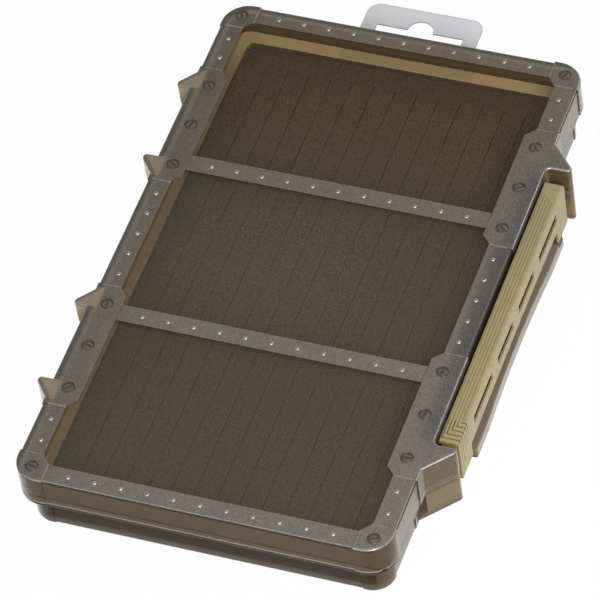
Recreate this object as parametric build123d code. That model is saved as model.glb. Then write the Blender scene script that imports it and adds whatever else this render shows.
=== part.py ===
from build123d import *
import os
from math import floor

# Fly box: a hinged lid and a shallow base moulded in smoke-brown plastic, a swinging latch
# along one long side, a slit foam insert and a clear hang tab.
#
# Frame: X runs along the length towards the hang tab, +Y is the hinge side, -Y the latch side,
# +Z is up. The origin is the centre of the base's flat underside. All sizes are millimetres.

# ---------------------------------------------------------------- driving dimensions

# Outline shared by the lid and the flange of the base
LENGTH = 204.8
WIDTH = 123.6
CORNER_R = 8.6

# Heights
BASE_HEIGHT = 15.0          # underside to the top of the flange
LID_HEIGHT = 10.3           # open edge to the top of the frame strips
LID_GAP = 0.2               # daylight between the closed lid and the flange

# Base
END_INSET = 3.3             # end walls stand back from the flange by this
SIDE_INSET = 2.6            # side walls stand back from the flange by this
BASE_CORNER_R = 7.0
BASE_EDGE_R = 1.6           # round along the bottom edge
FLANGE_T = 1.4
FLOOR_T = 1.8
END_WALL = 3.15             # thick walls between the outside and the foam's pocket
SIDE_WALL = 4.75

# Lid
LID_WALL = 1.7
WINDOW_T = 1.5              # clear window panels
STRIP_RISE = 0.3            # frame strips stand above the windows
PLATE_RISE = 0.4            # corner and side plates stand above the strips
PAD = 0.35                  # plates stand proud of the side walls
TOP_EDGE_R = 0.8
RIM_EDGE_R = 0.35
END_STRIP = 6.9             # frame strips, from the outside edge to the window
SIDE_STRIP = 7.7
BAR_X = 32.4                # middle of each cross bar
BAR_WIDTH = 6.5
WINDOW_CORNER_R = 1.0

# Raised plates
CORNER_PLATE_LENGTH = 10.2  # along X, from the outside edge
CORNER_PLATE_WIDTH = 10.7   # along Y, from the outside edge
SIDE_PLATE_LENGTH = 50.2
SIDE_PLATE_MARGIN = 4.1     # from a latch ear's slope to the end of its plate
SIDE_PLATE_WIDTH = 10.6     # from the outside edge
SIDE_PLATE_CUT = 3.3        # 45 degree cuts at the inner corners

# Rivet heads and screw heads, moulded in the lid
RIVET_PITCH = 8.7
RIVET_R = 0.8
RIVET_RISE = 0.45
RIVET_MARGIN = 3.5          # least distance from a rivet to the plate at the end of its row
RIVET_FROM_END = 3.75       # from the outside edge to the row
RIVET_FROM_SIDE = 4.6
SCREW_PITCH = 17.5
SCREW_R = 1.8
SCREW_RING = 0.4            # width of the moulded groove round each head
SCREW_DEPTH = 0.45          # of the groove and of the driver slot
SCREW_RISE = 0.12           # top of the domed head above the plate
SLOT_WIDTH = 0.9
SCREW_FROM_SIDE = 5.65
SCREW_FROM_END = 5.0
# Slot angles: four corners, then the three screws of each side plate
CORNER_SLOT_ANGLES = (20, 70, 115, -25)
PLATE_SLOT_ANGLES = (60, -20, 35, 10, 75, -40, -10, -15, 100, 45, -65, 25)

# Ears at the ends of the latch, on lid and base
EAR_GAP = 3.5               # from the latch's ends to the flat faces of the ears
EAR_TIP_LENGTH = 1.9
EAR_REACH = 8.4             # beyond the flange
EAR_SLOPE = 9.0             # run of the sloping face along X
EAR_TIP_R = 1.2
EAR_ROOT_R = 2.0
EAR_WALL = 1.7
EAR_LIFT = 1.7              # underside of the base's ears above the bottom
EAR_EDGE_R = 1.1            # round along that underside
EAR_BOSS_R = 2.7            # boss inside the base's ears, round each latch pin

# Ears beside the hinges, on the lid
HINGE_GAP = 30.4            # clear length between the two ears of a hinge
HINGE_EAR_TIP = 1.8
HINGE_EAR_TIP_R = 1.2
HINGE_EAR_REACH = 5.0
HINGE_EAR_SLOPE = 6.8
HINGE_EAR_HEIGHT = 9.4
HINGE_EAR_ROOT = (2.4, 1.2)    # reach into the raised plate, along Y and Z
HINGE_EAR_CUT = (0.8, 1.5)  # cut along the bottom outer edge, along Y and Z

# Hinges
HINGE_OUT = 2.4             # pin axis beyond the flange
HINGE_DROP = 0.4            # pin axis below the top of the flange
KNUCKLE_R = 1.6
KNUCKLES = 5                # on the base, then the lid, in turn
KNUCKLE_GAP = 0.3
HINGE_END_GAP = 1.1         # from the outer knuckles to the ears
HINGE_PIN_R = 0.8
PIN_CLEARANCE = 0.05        # running clearance, on the radius

# Latch
LATCH_LENGTH = 108.8
LATCH_TOP_Z = 22.9
LATCH_FACE = 7.3            # outer face, beyond the flange
LATCH_WALL = 1.6
LATCH_TOP_T = 1.4
LATCH_LID_GAP = 0.35        # from the lid's side plates to the latch
LATCH_EDGE_R = 0.9          # round between the top plate and the outer face
LATCH_RIM_R = 0.35          # the top plate's other edges
LEG_LENGTH = 10.0           # along X, at each end
LEG_BOTTOM_Z = 5.9
RAIL_BOTTOM_Z = 11.3        # lower edge between the legs, at the legs
RAIL_ARCH = 1.0             # rise of that edge in the middle
PIVOT_IN = 2.9              # pivot axis, in from the outer face
PIVOT_Z = 9.2
PIVOT_R = 2.3
LATCH_PIN_R = 1.0
END_WEB_T = 1.5
END_WEB_IN = 1.0            # end webs stop short of the top plate's edge
# Four openings in a row in the outer face, a little off the middle
OPENINGS_X = 2.5
INNER_OPENING = 15.4        # length of the middle two
OUTER_OPENING = 18.3        # length of the end two
OPENING_BRIDGE = 5.9        # plastic between two openings
OPENING_BOTTOM_Z = 16.0
OPENING_TOP_Z = 19.5
# Nested finger grooves: across the top near one end, along the top, and down the face
GROOVES = 5
GROOVE_WIDTH = 0.4
GROOVE_DEPTH = 0.25
GROOVE_FROM_END = 1.6
GROOVE_STEP_X = 1.72
GROOVE_FROM_EDGE = 0.6
GROOVE_STEP_Y = 1.05
GROOVE_FAR_END = 4.2        # grooves stop this far from the other end
GROOVE_LOW_Z = 9.0          # the outermost groove runs down to here
GROOVE_STEP_Z = 2.1

# Catch: a ledge on the lid under the latch's top plate, with a groove for the latch's bead
CATCH_LEG_GAP = 0.4         # from the ledge's ends to the latch's legs, along X
CATCH_REACH = 3.8
CATCH_T = 1.8
CATCH_GAP = 0.3             # from the ledge to the latch's top plate
BEAD_DEPTH = 0.25
BEAD_WIDTH = 0.8
BEAD_FROM_EDGE = 0.7
BEAD_CLEARANCE = 0.3

# Finger shelf of the base, below the latch
SHELF_NEAR_GAP = 1.9        # from the shelf's ends to the latch's legs, along X
SHELF_FAR_GAP = 0.4
SHELF_REACH = 7.8           # beyond the flange
SHELF_TOP_Z = 5.8
SHELF_BOTTOM_Z = 1.7
SHELF_T = 1.6
SHELF_CORNER_R = 1.0
SCOOP_X = 2.5               # shallow hollow in the shelf's outer edge, off the middle
SCOOP_LENGTH = 66.0
SCOOP_DEPTH = 0.9
# Tongue at the shelf's far end, low enough for the latch's leg to swing over it
TONGUE_LENGTH = 7.0
TONGUE_FLAT = 3.2           # straight part of its outer edge, before the slanting part
TONGUE_SLANT = 2.0          # how far the slanting part runs in, along Y
TONGUE_GAP = 0.3            # from its top to the leg where that swings lowest

# Foam insert and its adhesive sheet
FOAM_T = 12.0
FOAM_CLEARANCE = 0.25
FOAM_CORNER_R = 2.5
SLITS = 13
SLIT_PITCH = 7.5
SLIT_WIDTH = 0.4
SLIT_DEPTH = 8.0
SLIT_MARGIN = 8.2           # uncut foam at each end of a slit
ADHESIVE_T = 0.2
ADHESIVE_MARGIN = 1.0

# Hang tab
TAB_T = 0.5
TAB_WIDTH = 40.3
TAB_REACH = 19.9            # beyond the end of the case
TAB_CORNER_R = 4.4
TAB_FOOT_WIDTH = 46.0       # wider foot that lies inside the case
TAB_FOOT_LENGTH = 3.9
TAB_FOOT_GAP = 0.3          # from the foot to the lid's end wall
TAB_NOTCH_CLEARANCE = 0.25
HANG_SLOT_LENGTH = 30.1
HANG_SLOT_WIDTH = 4.5
HANG_SLOT_FROM_END = 6.4    # from the end of the case to the slot
HANG_ARCH_R = 4.4

# ---------------------------------------------------------------- derived places

HALF_LENGTH = LENGTH / 2
HALF_WIDTH = WIDTH / 2
LID_BOTTOM_Z = BASE_HEIGHT + LID_GAP
STRIP_Z = LID_BOTTOM_Z + LID_HEIGHT
PLATE_Z = STRIP_Z + PLATE_RISE
WINDOW_Z = STRIP_Z - STRIP_RISE
CEILING_Z = WINDOW_Z - WINDOW_T
WINDOW_X = HALF_LENGTH - END_STRIP
WINDOW_Y = HALF_WIDTH - SIDE_STRIP
PLATE_Y = HALF_WIDTH - SIDE_PLATE_WIDTH
HINGE_Y = HALF_WIDTH + HINGE_OUT
HINGE_Z = BASE_HEIGHT - HINGE_DROP
LATCH_FACE_Y = -HALF_WIDTH - LATCH_FACE
LATCH_EDGE_Y = -HALF_WIDTH - PAD - LATCH_LID_GAP
LATCH_UNDER_Z = LATCH_TOP_Z - LATCH_TOP_T
PIVOT_Y = LATCH_FACE_Y + PIVOT_IN
LATCH_END = LATCH_LENGTH / 2
LEG_INNER = LATCH_END - LEG_LENGTH
CATCH_END = LEG_INNER - CATCH_LEG_GAP
SHELF_NEAR = -LEG_INNER + SHELF_NEAR_GAP
SHELF_FAR = LEG_INNER - SHELF_FAR_GAP
LEG_SWING_R = ((PIVOT_Y - LATCH_FACE_Y) ** 2 + (PIVOT_Z - LEG_BOTTOM_Z) ** 2) ** 0.5
TONGUE_TOP_Z = PIVOT_Z - LEG_SWING_R - TONGUE_GAP
EAR_FLAT_X = LATCH_END + EAR_GAP
SIDE_PLATE_END = EAR_FLAT_X + EAR_TIP_LENGTH + EAR_SLOPE + SIDE_PLATE_MARGIN
SIDE_PLATE_X = SIDE_PLATE_END - SIDE_PLATE_LENGTH / 2
SIDE_PLATE_START = SIDE_PLATE_END - SIDE_PLATE_LENGTH
BASE_WALL_Y = HALF_WIDTH - SIDE_INSET
POCKET_LENGTH = LENGTH - 2 * (END_INSET + END_WALL)
POCKET_WIDTH = WIDTH - 2 * (SIDE_INSET + SIDE_WALL)
FOAM_LENGTH = POCKET_LENGTH - 2 * FOAM_CLEARANCE
FOAM_WIDTH = POCKET_WIDTH - 2 * FOAM_CLEARANCE
SIGNS = (-1, 1)
QUARTERS = ((1, 1), (-1, 1), (-1, -1), (1, -1))


# ---------------------------------------------------------------- small shape helpers

def slab(length, width, radius, bottom, top):
    """Upright slab with rounded corners, centred on the Z axis."""
    plan = RectangleRounded(length, width, radius)
    return extrude(Pos(0, 0, bottom) * plan, top - bottom)


def block(x0, x1, y0, y1, z0, z1):
    """Box between two opposite corners."""
    centre = Pos((x0 + x1) / 2, (y0 + y1) / 2, (z0 + z1) / 2)
    return centre * Box(abs(x1 - x0), abs(y1 - y0), abs(z1 - z0))


def prism(points, bottom, top):
    """Upright prism over a polygon in plan."""
    plan = make_face(Polyline(*points, close=True))
    return extrude(Pos(0, 0, bottom) * plan, top - bottom)


def rod(radius, x0, x1, y, z):
    """Round bar along X."""
    place = Pos((x0 + x1) / 2, y, z) * Rot(0, 90, 0)
    return place * Cylinder(radius, abs(x1 - x0))


def soften(solid, z, radius):
    """Round the edges that lie flat at height z."""
    edges = solid.edges().filter_by_position(Axis.Z, z - 0.01, z + 0.01)
    return fillet(edges, radius)


def centred_row(half_span, pitch):
    """Places of an odd row that fits inside +-half_span, one of them at zero."""
    count = floor(half_span / pitch)
    return [pitch * i for i in range(-count, count + 1)]


def filled_row(start, end, pitch):
    """Places of a row at this pitch that fits between start and end, centred there."""
    count = floor((end - start) / pitch)
    first = (start + end - count * pitch) / 2
    return [first + pitch * i for i in range(count + 1)]


# ---------------------------------------------------------------- plates shared by lid and base

def corner_region(side_x, side_y, bottom, top):
    """Space taken by one corner plate, cut at 45 degrees towards the window."""
    far_x, far_y = HALF_LENGTH + 2 * PAD, HALF_WIDTH + 2 * PAD
    near_x, near_y = HALF_LENGTH - CORNER_PLATE_LENGTH, HALF_WIDTH - CORNER_PLATE_WIDTH
    points = [
        (near_x, far_y),
        (near_x, WINDOW_Y),
        (WINDOW_X, near_y),
        (far_x, near_y),
        (far_x, far_y),
    ]
    return prism([(side_x * x, side_y * y) for x, y in points], bottom, top)


def side_region(side_x, side_y, reach, bottom, top):
    """Space taken by one side plate, out to the given reach, with cut inner corners."""
    start, end = SIDE_PLATE_START, SIDE_PLATE_END
    points = [
        (start, reach),
        (start, PLATE_Y + SIDE_PLATE_CUT),
        (start + SIDE_PLATE_CUT, PLATE_Y),
        (end - SIDE_PLATE_CUT, PLATE_Y),
        (end, PLATE_Y + SIDE_PLATE_CUT),
        (end, reach),
    ]
    return prism([(side_x * x, side_y * y) for x, y in points], bottom, top)


def plate_regions(reach, bottom, top):
    """All eight raised plates as one group of solids."""
    regions = [corner_region(sx, sy, bottom, top) for sx, sy in QUARTERS]
    regions += [side_region(sx, sy, reach, bottom, top) for sx, sy in QUARTERS]
    return Compound(regions)


# ---------------------------------------------------------------- ears

def ear_plan(side_x, inner_y, shrink=0.0):
    """Plan of a latch ear: a flat face towards the latch and a slope outwards.

    inner_y is where the ear meets its wall; shrink draws the ear's hollow instead.
    """
    flat = EAR_FLAT_X + shrink
    tip_y = HALF_WIDTH + EAR_REACH - shrink
    tip_x = EAR_FLAT_X + EAR_TIP_LENGTH
    slope_x = tip_x + EAR_SLOPE
    if shrink:
        tip_x = flat + EAR_TIP_R
        slope_x -= 1.4 * shrink
    root_x = slope_x + (HALF_WIDTH - inner_y) * EAR_SLOPE / EAR_REACH
    points = [
        (flat, -inner_y),
        (flat, -tip_y),
        (tip_x, -tip_y),
        (root_x, -inner_y),
    ]
    face = make_face(Polyline(*[(side_x * x, y) for x, y in points], close=True))
    corners = face.vertices().filter_by_position(Axis.Y, -tip_y - 0.01, -tip_y + 0.01)
    return fillet(corners, EAR_TIP_R * (0.5 if shrink else 1))


def latch_ears(inner_y, bottom, top):
    """The two ears beside the latch, between two heights."""
    ears = []
    for side in SIGNS:
        root = block(
            side * (EAR_FLAT_X - EAR_ROOT_R), side * (EAR_FLAT_X + EAR_ROOT_R),
            -inner_y - EAR_ROOT_R, -inner_y + LID_WALL / 2, bottom, top,
        )
        scoop = Pos(side * (EAR_FLAT_X - EAR_ROOT_R), -inner_y - EAR_ROOT_R, (bottom + top) / 2)
        root -= scoop * Cylinder(EAR_ROOT_R, top - bottom)
        ears.append(extrude(Pos(0, 0, bottom) * ear_plan(side, inner_y - LID_WALL / 2), top - bottom))
        ears.append(root)
    return ears


def ear_hollows(inner_y, bottom, top):
    """The spaces inside the two ears beside the latch."""
    plans = [ear_plan(side, inner_y, EAR_WALL) for side in SIGNS]
    return [extrude(Pos(0, 0, bottom) * plan, top - bottom) for plan in plans]


def hinge_ears():
    """The four ears beside the hinges, flush with the plates, cut back along the bottom edge."""
    inner_y = HALF_WIDTH - LID_WALL / 2
    tip_y = HALF_WIDTH + HINGE_EAR_REACH
    bottom = STRIP_Z - HINGE_EAR_HEIGHT
    cut_y, cut_z = HINGE_EAR_CUT
    root_y, root_z = HINGE_EAR_ROOT
    profile = [
        (inner_y - root_y, bottom), (tip_y - cut_y, bottom), (tip_y, bottom + cut_z),
        (tip_y, PLATE_Z), (inner_y - root_y, PLATE_Z),
    ]
    side_view = make_face(Polyline(*[(0, y, z) for y, z in profile], close=True))
    reach = extrude(side_view, LENGTH, dir=(1, 0, 0), both=True)
    ears = []
    for side in SIGNS:
        for outward in SIGNS:
            flat = SIDE_PLATE_X + outward * HINGE_GAP / 2
            tip = flat + outward * HINGE_EAR_TIP
            root = tip + outward * HINGE_EAR_SLOPE
            outline = [(flat, inner_y), (flat, tip_y), (tip, tip_y), (root, inner_y)]
            rooted = outline + [(root, inner_y - root_y), (flat, inner_y - root_y)]
            plans = []
            for points in (outline, rooted):
                face = make_face(Polyline(*[(side * x, y) for x, y in points], close=True))
                corners = face.vertices().filter_by_position(Axis.Y, tip_y - 0.01, tip_y + 0.01)
                plans.append(fillet(corners, HINGE_EAR_TIP_R))
            ear = extrude(Pos(0, 0, bottom) * plans[0], PLATE_Z - root_z - bottom)
            ear += extrude(Pos(0, 0, PLATE_Z - root_z) * plans[1], root_z)
            ears.append(soften(ear, PLATE_Z, TOP_EDGE_R * 0.8) & reach)
    return ears


# ---------------------------------------------------------------- hinge knuckles and pins

def knuckle_spans(on_base):
    """Start and end along X of the knuckles of one hinge that belong to the base or the lid."""
    start = SIDE_PLATE_X - HINGE_GAP / 2 + HINGE_END_GAP
    length = HINGE_GAP - 2 * HINGE_END_GAP
    each = (length - (KNUCKLES - 1) * KNUCKLE_GAP) / KNUCKLES
    spans = []
    for i in range(KNUCKLES):
        if (i % 2 == 0) == on_base:
            x0 = start + i * (each + KNUCKLE_GAP)
            spans.append((x0, x0 + each))
    return spans


def knuckles(on_base, leaf_bottom, leaf_top):
    """Barrels on the hinge axis, each with a leaf to its wall, for both hinges."""
    root_y = HALF_WIDTH - LID_WALL / 2
    parts = []
    for side in SIGNS:
        for x0, x1 in knuckle_spans(on_base):
            parts.append(block(side * x0, side * x1, root_y, HINGE_Y, leaf_bottom, leaf_top))
            parts.append(rod(KNUCKLE_R, side * x0, side * x1, HINGE_Y, HINGE_Z))
    return parts


def knuckle_bores(radius):
    """The pin holes of both hinges."""
    x0, x1 = SIDE_PLATE_X - HINGE_GAP / 2, SIDE_PLATE_X + HINGE_GAP / 2
    return [rod(radius, side * x0, side * x1, HINGE_Y, HINGE_Z) for side in SIGNS]


def hinge_pin(side):
    """Steel pin, pressed in the base's knuckles."""
    spans = knuckle_spans(True)
    return rod(HINGE_PIN_R, side * spans[0][0], side * spans[-1][1], HINGE_Y, HINGE_Z)


# ---------------------------------------------------------------- lid

def lid_shell():
    """Lid with frame strips, windows, raised plates and ears, hollow from below."""
    shell = slab(LENGTH, WIDTH, CORNER_R, LID_BOTTOM_Z, STRIP_Z)
    shell = soften(soften(shell, STRIP_Z, TOP_EDGE_R), LID_BOTTOM_Z, RIM_EDGE_R)
    shell -= window_recesses()

    proud = slab(LENGTH + 2 * PAD, WIDTH + 2 * PAD, CORNER_R + PAD, LID_BOTTOM_Z, PLATE_Z)
    proud += latch_ears(HALF_WIDTH + PAD, LID_BOTTOM_Z, PLATE_Z)
    proud = soften(soften(proud, PLATE_Z, TOP_EDGE_R), LID_BOTTOM_Z, RIM_EDGE_R)
    regions = plate_regions(HALF_WIDTH + 2 * EAR_REACH, LID_BOTTOM_Z, PLATE_Z)
    shell += (proud & regions).solids()
    shell += hinge_ears()

    cavity_r = CORNER_R - LID_WALL
    shell -= slab(LENGTH - 2 * LID_WALL, WIDTH - 2 * LID_WALL, cavity_r, LID_BOTTOM_Z, CEILING_Z)
    shell -= ear_hollows(HALF_WIDTH, LID_BOTTOM_Z, STRIP_Z - EAR_WALL)
    return shell


def window_recesses():
    """Three shallow recesses that leave the frame strips and cross bars standing."""
    edges = [-WINDOW_X, -BAR_X - BAR_WIDTH / 2, -BAR_X + BAR_WIDTH / 2]
    edges += [-x for x in reversed(edges)]
    recesses = []
    for x0, x1 in zip(edges[0::2], edges[1::2]):
        plan = RectangleRounded(x1 - x0, 2 * WINDOW_Y, WINDOW_CORNER_R)
        recesses.append(extrude(Pos((x0 + x1) / 2, 0, WINDOW_Z) * plan, STRIP_Z - WINDOW_Z))
    return recesses


def rivet_places():
    """Rivet heads on the end strips, cross bars and side strips."""
    row_x = HALF_LENGTH - RIVET_FROM_END
    row_y = HALF_WIDTH - RIVET_FROM_SIDE
    corner_start = HALF_LENGTH - CORNER_PLATE_LENGTH
    across = centred_row(HALF_WIDTH - CORNER_PLATE_WIDTH - RIVET_MARGIN, RIVET_PITCH)
    middle = centred_row(SIDE_PLATE_START - RIVET_MARGIN, RIVET_PITCH)
    ends = filled_row(SIDE_PLATE_END + RIVET_MARGIN, corner_start - RIVET_MARGIN, RIVET_PITCH)
    places = [(x, y) for x in (-row_x, -BAR_X, BAR_X, row_x) for y in across]
    for side in SIGNS:
        places += [(x, side * row_y) for x in middle]
        places += [(sign * x, side * row_y) for sign in SIGNS for x in ends]
    return places


def dome(radius, rise):
    """Ball whose cap has this radius and rise above the XY plane."""
    ball_r = (radius**2 + rise**2) / (2 * rise)
    return Pos(0, 0, rise - ball_r) * Sphere(ball_r)


def rivet_heads():
    """Low domes that stand on the frame strips and cross bars."""
    head = dome(RIVET_R, RIVET_RISE)
    return [Pos(x, y, STRIP_Z) * head for x, y in rivet_places()]


def screw_places():
    """Place and slot angle of each moulded screw head."""
    corner_x = HALF_LENGTH - SCREW_FROM_END
    row_y = HALF_WIDTH - SCREW_FROM_SIDE
    places = [(sx * corner_x, sy * row_y) for sx, sy in QUARTERS]
    for sx, sy in QUARTERS:
        places += [(sx * (SIDE_PLATE_X + i * SCREW_PITCH), sy * row_y) for i in (-1, 0, 1)]
    return zip(places, CORNER_SLOT_ANGLES + PLATE_SLOT_ANGLES)


def screw_cuts():
    """Round recess for each screw head."""
    recess = Cylinder(SCREW_R + SCREW_RING, 2 * SCREW_DEPTH)
    return [Pos(x, y, PLATE_Z) * recess for (x, y), _ in screw_places()]


def screw_heads():
    """Domed heads that stand in the recesses, each with a driver slot at its own angle."""
    rise = SCREW_DEPTH + SCREW_RISE
    above = Pos(0, 0, rise) * Box(4 * SCREW_R, 4 * SCREW_R, 2 * rise)
    head = dome(SCREW_R, rise) & above
    head += Pos(0, 0, -SCREW_DEPTH / 2) * Cylinder(SCREW_R, SCREW_DEPTH)
    head -= Pos(0, 0, rise) * Box(4 * SCREW_R, SLOT_WIDTH, 2 * SCREW_DEPTH)
    bottom = PLATE_Z - SCREW_DEPTH
    return [Pos(x, y, bottom) * Rot(0, 0, angle) * head for (x, y), angle in screw_places()]


def catch_ledge():
    """Ledge for the latch to hold, with a groove that takes the latch's bead."""
    top = LATCH_UNDER_Z - CATCH_GAP
    root_y = -HALF_WIDTH + LID_WALL / 2
    ledge = block(-CATCH_END, CATCH_END, -HALF_WIDTH - CATCH_REACH, root_y, top - CATCH_T, top)
    groove_y = LATCH_EDGE_Y - BEAD_FROM_EDGE - BEAD_WIDTH - BEAD_CLEARANCE
    groove_z = top - BEAD_CLEARANCE - BEAD_DEPTH / 2
    groove = block(-CATCH_END, CATCH_END, groove_y, LATCH_EDGE_Y, groove_z, top)
    return ledge - groove


def tab_notch():
    """Notch in the lid's end wall for the hang tab."""
    half = TAB_WIDTH / 2 + TAB_NOTCH_CLEARANCE
    top = BASE_HEIGHT + TAB_T + TAB_NOTCH_CLEARANCE
    inner = HALF_LENGTH - 2 * LID_WALL
    return block(inner, LENGTH, -half, half, LID_BOTTOM_Z - 1, top)


def make_lid():
    lid = lid_shell()
    lid += catch_ledge()
    lid += knuckles(False, LID_BOTTOM_Z, HINGE_Z + KNUCKLE_R)
    lid -= knuckle_bores(HINGE_PIN_R + PIN_CLEARANCE)
    lid += rivet_heads()
    lid -= screw_cuts()
    lid += screw_heads()
    lid -= tab_notch()
    return lid


# ---------------------------------------------------------------- base

def base_walls():
    """Tray with its inset walls, the flange above them and the raised plates on both."""
    length, width = LENGTH - 2 * END_INSET, WIDTH - 2 * SIDE_INSET
    flange_bottom = BASE_HEIGHT - FLANGE_T
    walls = soften(slab(length, width, BASE_CORNER_R, 0, BASE_HEIGHT), 0, BASE_EDGE_R)
    flange = slab(LENGTH, WIDTH, CORNER_R, flange_bottom, BASE_HEIGHT)
    flange = soften(flange, BASE_HEIGHT, RIM_EDGE_R)

    proud = slab(length + 2 * PAD, width + 2 * PAD, BASE_CORNER_R + PAD, 0, BASE_HEIGHT)
    proud = soften(proud, 0, BASE_EDGE_R)
    rim = slab(LENGTH + 2 * PAD, WIDTH + 2 * PAD, CORNER_R + PAD, flange_bottom, BASE_HEIGHT)
    rim = soften(rim, BASE_HEIGHT, RIM_EDGE_R)
    regions = plate_regions(HALF_WIDTH + 2 * PAD, 0, BASE_HEIGHT)
    tray = walls + flange
    tray += (proud & regions).solids()
    tray += (rim & regions).solids()
    return tray


def foam_pocket():
    """Pocket that holds the foam insert."""
    corner = FOAM_CORNER_R + FOAM_CLEARANCE
    return slab(POCKET_LENGTH, POCKET_WIDTH, corner, FLOOR_T, BASE_HEIGHT)


def shelf_plan(shrink=0.0):
    """Plan of the finger shelf: a straight outer edge with a shallow hollow in its middle."""
    near, far = SHELF_NEAR + shrink, SHELF_FAR - shrink
    outer = -HALF_WIDTH - SHELF_REACH + shrink
    inner = -BASE_WALL_Y + (0 if shrink else LID_WALL)
    scoop = SCOOP_LENGTH / 2
    left, right = (SCOOP_X - scoop, outer), (SCOOP_X + scoop, outer)
    sides = Polyline(left, (near, outer), (near, inner), (far, inner), (far, outer), right)
    hollow = ThreePointArc(right, (SCOOP_X, outer + SCOOP_DEPTH), left)
    plan = make_face(Curve() + [sides, hollow])
    if shrink:
        return plan
    corners = plan.vertices().filter_by_position(Axis.Y, outer - 0.01, outer + 0.01)
    return fillet(corners.sort_by(Axis.X)[::3], SHELF_CORNER_R)


def finger_shelf():
    """Shelf below the latch, hollow from below."""
    height = SHELF_TOP_Z - SHELF_BOTTOM_Z
    shelf = extrude(Pos(0, 0, SHELF_BOTTOM_Z) * shelf_plan(), height)
    shelf = soften(shelf, SHELF_TOP_Z, RIM_EDGE_R)
    hollow = extrude(Pos(0, 0, SHELF_BOTTOM_Z) * shelf_plan(SHELF_T), height - SHELF_T)
    return shelf - hollow


def shelf_tongue():
    """Low tongue that carries the shelf on under the latch's far leg."""
    outer, inner = -HALF_WIDTH - SHELF_REACH, -BASE_WALL_Y
    start, end = SHELF_FAR - SHELF_T, SHELF_FAR + TONGUE_LENGTH
    outline = [
        (start, inner), (start, outer), (SHELF_FAR + TONGUE_FLAT, outer),
        (end, outer + TONGUE_SLANT), (end, inner),
    ]
    return prism(outline, SHELF_BOTTOM_Z, TONGUE_TOP_Z)


def base_ears():
    """Ears of the base, open at the top, each with a boss for a latch pin."""
    ears = []
    for part in latch_ears(BASE_WALL_Y, EAR_LIFT, BASE_HEIGHT):
        low = part.edges().filter_by_position(Axis.Z, EAR_LIFT - 0.01, EAR_LIFT + 0.01)
        outer = low.filter_by_position(Axis.Y, -WIDTH, -BASE_WALL_Y - EAR_ROOT_R)
        ears.append(fillet(outer, EAR_EDGE_R) if outer else part)
    ears = ears[0] + ears[1:]
    ears -= ear_hollows(BASE_WALL_Y + PAD, EAR_LIFT + EAR_WALL, BASE_HEIGHT)
    ears += [rod(EAR_BOSS_R, side * EAR_FLAT_X, side * pin_root(), PIVOT_Y, PIVOT_Z) for side in SIGNS]
    return ears


def pin_root():
    """X of the buried end of a latch pin's boss."""
    return EAR_FLAT_X + 2 * EAR_WALL


def latch_pin(side):
    """Steel pin, pressed in the ear's boss; the latch's leg turns on it."""
    return rod(LATCH_PIN_R, side * LEG_INNER, side * (pin_root() - EAR_WALL / 2), PIVOT_Y, PIVOT_Z)


def make_base():
    base = base_walls()
    base += finger_shelf()
    base += shelf_tongue()
    base += base_ears().solids()
    base -= foam_pocket()
    base += knuckles(True, HINGE_Z - KNUCKLE_R, HINGE_Z)
    base -= knuckle_bores(HINGE_PIN_R)
    base -= [latch_pin(side) for side in SIGNS]
    return base


# ---------------------------------------------------------------- latch

def latch_body():
    """Top plate and outer face, with a leg and a web at each end."""
    wall_y = LATCH_FACE_Y + LATCH_WALL
    body = block(-LATCH_END, LATCH_END, LATCH_FACE_Y, LATCH_EDGE_Y, LEG_BOTTOM_Z, LATCH_TOP_Z)
    edges = body.edges().filter_by_position(Axis.Y, LATCH_FACE_Y - 0.01, LATCH_FACE_Y + 0.01)
    body = fillet(edges.filter_by(Axis.X).sort_by(Axis.Z)[-1:], LATCH_EDGE_R)
    body = soften(body, LATCH_TOP_Z, LATCH_RIM_R)
    body = body - block(-LATCH_LENGTH, LATCH_LENGTH, wall_y, 0, 0, LATCH_UNDER_Z)
    web_y0, web_y1 = LATCH_FACE_Y + LATCH_WALL / 2, LATCH_EDGE_Y - END_WEB_IN
    web_top = LATCH_TOP_Z - LATCH_TOP_T / 2
    for side in SIGNS:
        web_x = side * (LATCH_END - END_WEB_T)
        body += block(web_x, side * LATCH_END, web_y0, web_y1, PIVOT_Z, web_top)
        body += rod(PIVOT_R, side * LEG_INNER, side * LATCH_END, PIVOT_Y, PIVOT_Z)
    return body


def finger_opening():
    """Cut between the legs, with an arched upper edge."""
    left, right = (-LEG_INNER, RAIL_BOTTOM_Z), (LEG_INNER, RAIL_BOTTOM_Z)
    sides = Polyline(left, (-LEG_INNER, 0), (LEG_INNER, 0), right)
    arch = ThreePointArc(right, (0, RAIL_BOTTOM_Z + RAIL_ARCH), left)
    plan = Plane.XZ * make_face(Curve() + [sides, arch])
    return extrude(Pos(0, LATCH_FACE_Y - LATCH_WALL, 0) * plan, -3 * LATCH_WALL)


def face_openings():
    """Elongated openings in the outer face."""
    y0, y1 = LATCH_FACE_Y - LATCH_WALL, LATCH_FACE_Y + 2 * LATCH_WALL
    inner_end = OPENING_BRIDGE / 2 + INNER_OPENING
    outer_start = inner_end + OPENING_BRIDGE
    spans = ((OPENING_BRIDGE / 2, inner_end), (outer_start, outer_start + OUTER_OPENING))
    cuts = []
    for side in SIGNS:
        for near, far in spans:
            x0, x1 = OPENINGS_X + side * near, OPENINGS_X + side * far
            cuts.append(block(x0, x1, y0, y1, OPENING_BOTTOM_Z, OPENING_TOP_Z))
    return cuts


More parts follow.
